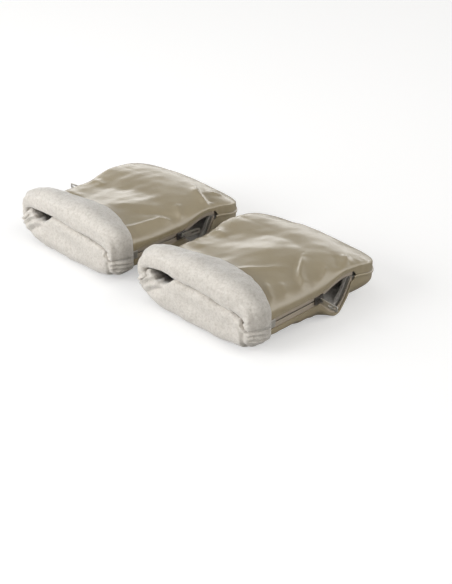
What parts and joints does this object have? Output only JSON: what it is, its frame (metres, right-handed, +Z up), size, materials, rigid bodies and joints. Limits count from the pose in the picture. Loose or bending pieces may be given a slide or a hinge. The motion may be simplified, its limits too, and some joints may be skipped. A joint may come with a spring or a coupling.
{
  "type": "stroller hand muff",
  "caption": "Pair of padded clamshell hand muffs for a stroller handlebar, with fleece lining, turned-back cuff and side zips that close round the bar.",
  "frame": {"origin": "bottom centre of the pair's bounding box, on the surface that the muffs lie on", "axes": "+Z up, +Y from the hand's mouth to the fingertips, +X along the handlebar to the parent's right"},
  "size_m": [0.4522, 0.2185, 0.0772],
  "materials": {
    "coated_shell": "greige coated fabric with a satin sheen and soft folds",
    "wadding": "matt polyester wadding",
    "fleece": "matt brushed cream fleece",
    "zip_tape": "fine woven tape",
    "zip_coil": "nylon coil",
    "zip_metal": "polished gunmetal nickel",
    "front_binding": "folded edge of the coated fabric"
  },
  "bodies": {
    "right_base": {"right_lower_shell": "coated_shell", "right_lower_wadding": "wadding", "right_lower_lining": "fleece", "right_front_binding": "front_binding", "right_outer_zip_lower_tape": "zip_tape", "right_outer_zip_lower_coil": "zip_coil", "right_outer_zip_lower_stop": "zip_metal", "right_outer_zip_box": "zip_metal", "right_inner_zip_lower_tape": "zip_tape", "right_inner_zip_lower_coil": "zip_coil", "right_inner_zip_lower_stop": "zip_metal", "right_inner_zip_box": "zip_metal"},
    "right_flap": {"right_upper_shell": "coated_shell", "right_upper_wadding": "wadding", "right_upper_lining": "fleece", "right_outer_zip_upper_tape": "zip_tape", "right_outer_zip_upper_coil": "zip_coil", "right_outer_zip_upper_stop": "zip_metal", "right_outer_zip_pin": "zip_metal", "right_inner_zip_upper_tape": "zip_tape", "right_inner_zip_upper_coil": "zip_coil", "right_inner_zip_upper_stop": "zip_metal", "right_inner_zip_pin": "zip_metal"},
    "right_outer_zip_slider": {"right_outer_zip_slider": "zip_metal"},
    "right_outer_zip_puller": {"right_outer_zip_puller": "zip_metal"},
    "right_inner_zip_slider": {"right_inner_zip_slider": "zip_metal"},
    "right_inner_zip_puller": {"right_inner_zip_puller": "zip_metal"},
    "left_base": {"left_lower_shell": "coated_shell", "left_lower_wadding": "wadding", "left_lower_lining": "fleece", "left_front_binding": "front_binding", "left_outer_zip_lower_tape": "zip_tape", "left_outer_zip_lower_coil": "zip_coil", "left_outer_zip_lower_stop": "zip_metal", "left_outer_zip_box": "zip_metal", "left_inner_zip_lower_tape": "zip_tape", "left_inner_zip_lower_coil": "zip_coil", "left_inner_zip_lower_stop": "zip_metal", "left_inner_zip_box": "zip_metal"},
    "left_flap": {"left_upper_shell": "coated_shell", "left_upper_wadding": "wadding", "left_upper_lining": "fleece", "left_outer_zip_upper_tape": "zip_tape", "left_outer_zip_upper_coil": "zip_coil", "left_outer_zip_upper_stop": "zip_metal", "left_outer_zip_pin": "zip_metal", "left_inner_zip_upper_tape": "zip_tape", "left_inner_zip_upper_coil": "zip_coil", "left_inner_zip_upper_stop": "zip_metal", "left_inner_zip_pin": "zip_metal"},
    "left_outer_zip_slider": {"left_outer_zip_slider": "zip_metal"},
    "left_outer_zip_puller": {"left_outer_zip_puller": "zip_metal"},
    "left_inner_zip_slider": {"left_inner_zip_slider": "zip_metal"},
    "left_inner_zip_puller": {"left_inner_zip_puller": "zip_metal"}
  },
  "joints": [
    {"name": "right_flap_hinge", "type": "hinge", "parent": "right_base", "child": "right_flap", "pos_m": [0.1082, 0.10775, 0.029], "axis": [-1, 0, 0], "range_deg": [0, 65]},
    {"name": "right_outer_zip_slide", "type": "slide", "parent": "right_base", "child": "right_outer_zip_slider", "axis": [0, 1, 0], "range_m": [-0.055, 0]},
    {"name": "right_outer_zip_puller_hinge", "type": "hinge", "parent": "right_outer_zip_slider", "child": "right_outer_zip_puller", "pos_m": [0.20015, -0.00625, 0.032], "axis": [0, 0, 1], "range_deg": [-53, 90]},
    {"name": "right_inner_zip_slide", "type": "slide", "parent": "right_base", "child": "right_inner_zip_slider", "axis": [0, 1, 0], "range_m": [-0.055, 0]},
    {"name": "right_inner_zip_puller_hinge", "type": "hinge", "parent": "right_inner_zip_slider", "child": "right_inner_zip_puller", "pos_m": [0.01625, -0.00625, 0.032], "axis": [0, 0, -1], "range_deg": [-143, 0]},
    {"name": "left_flap_hinge", "type": "hinge", "parent": "left_base", "child": "left_flap", "pos_m": [-0.1082, 0.10775, 0.029], "axis": [-1, 0, 0], "range_deg": [0, 65]},
    {"name": "left_outer_zip_slide", "type": "slide", "parent": "left_base", "child": "left_outer_zip_slider", "axis": [0, 1, 0], "range_m": [-0.055, 0]},
    {"name": "left_outer_zip_puller_hinge", "type": "hinge", "parent": "left_outer_zip_slider", "child": "left_outer_zip_puller", "pos_m": [-0.20015, -0.00625, 0.032], "axis": [0, 0, -1], "range_deg": [-53, 90]},
    {"name": "left_inner_zip_slide", "type": "slide", "parent": "left_base", "child": "left_inner_zip_slider", "axis": [0, 1, 0], "range_m": [-0.055, 0]},
    {"name": "left_inner_zip_puller_hinge", "type": "hinge", "parent": "left_inner_zip_slider", "child": "left_inner_zip_puller", "pos_m": [-0.01625, -0.00625, 0.032], "axis": [0, 0, 1], "range_deg": [-143, 0]},
    {"name": "left_muff_along_bar", "type": "slide", "parent": "right_base", "child": "left_base", "axis": [-1, 0, 0], "range_m": [0, 0.08]}
  ]
}
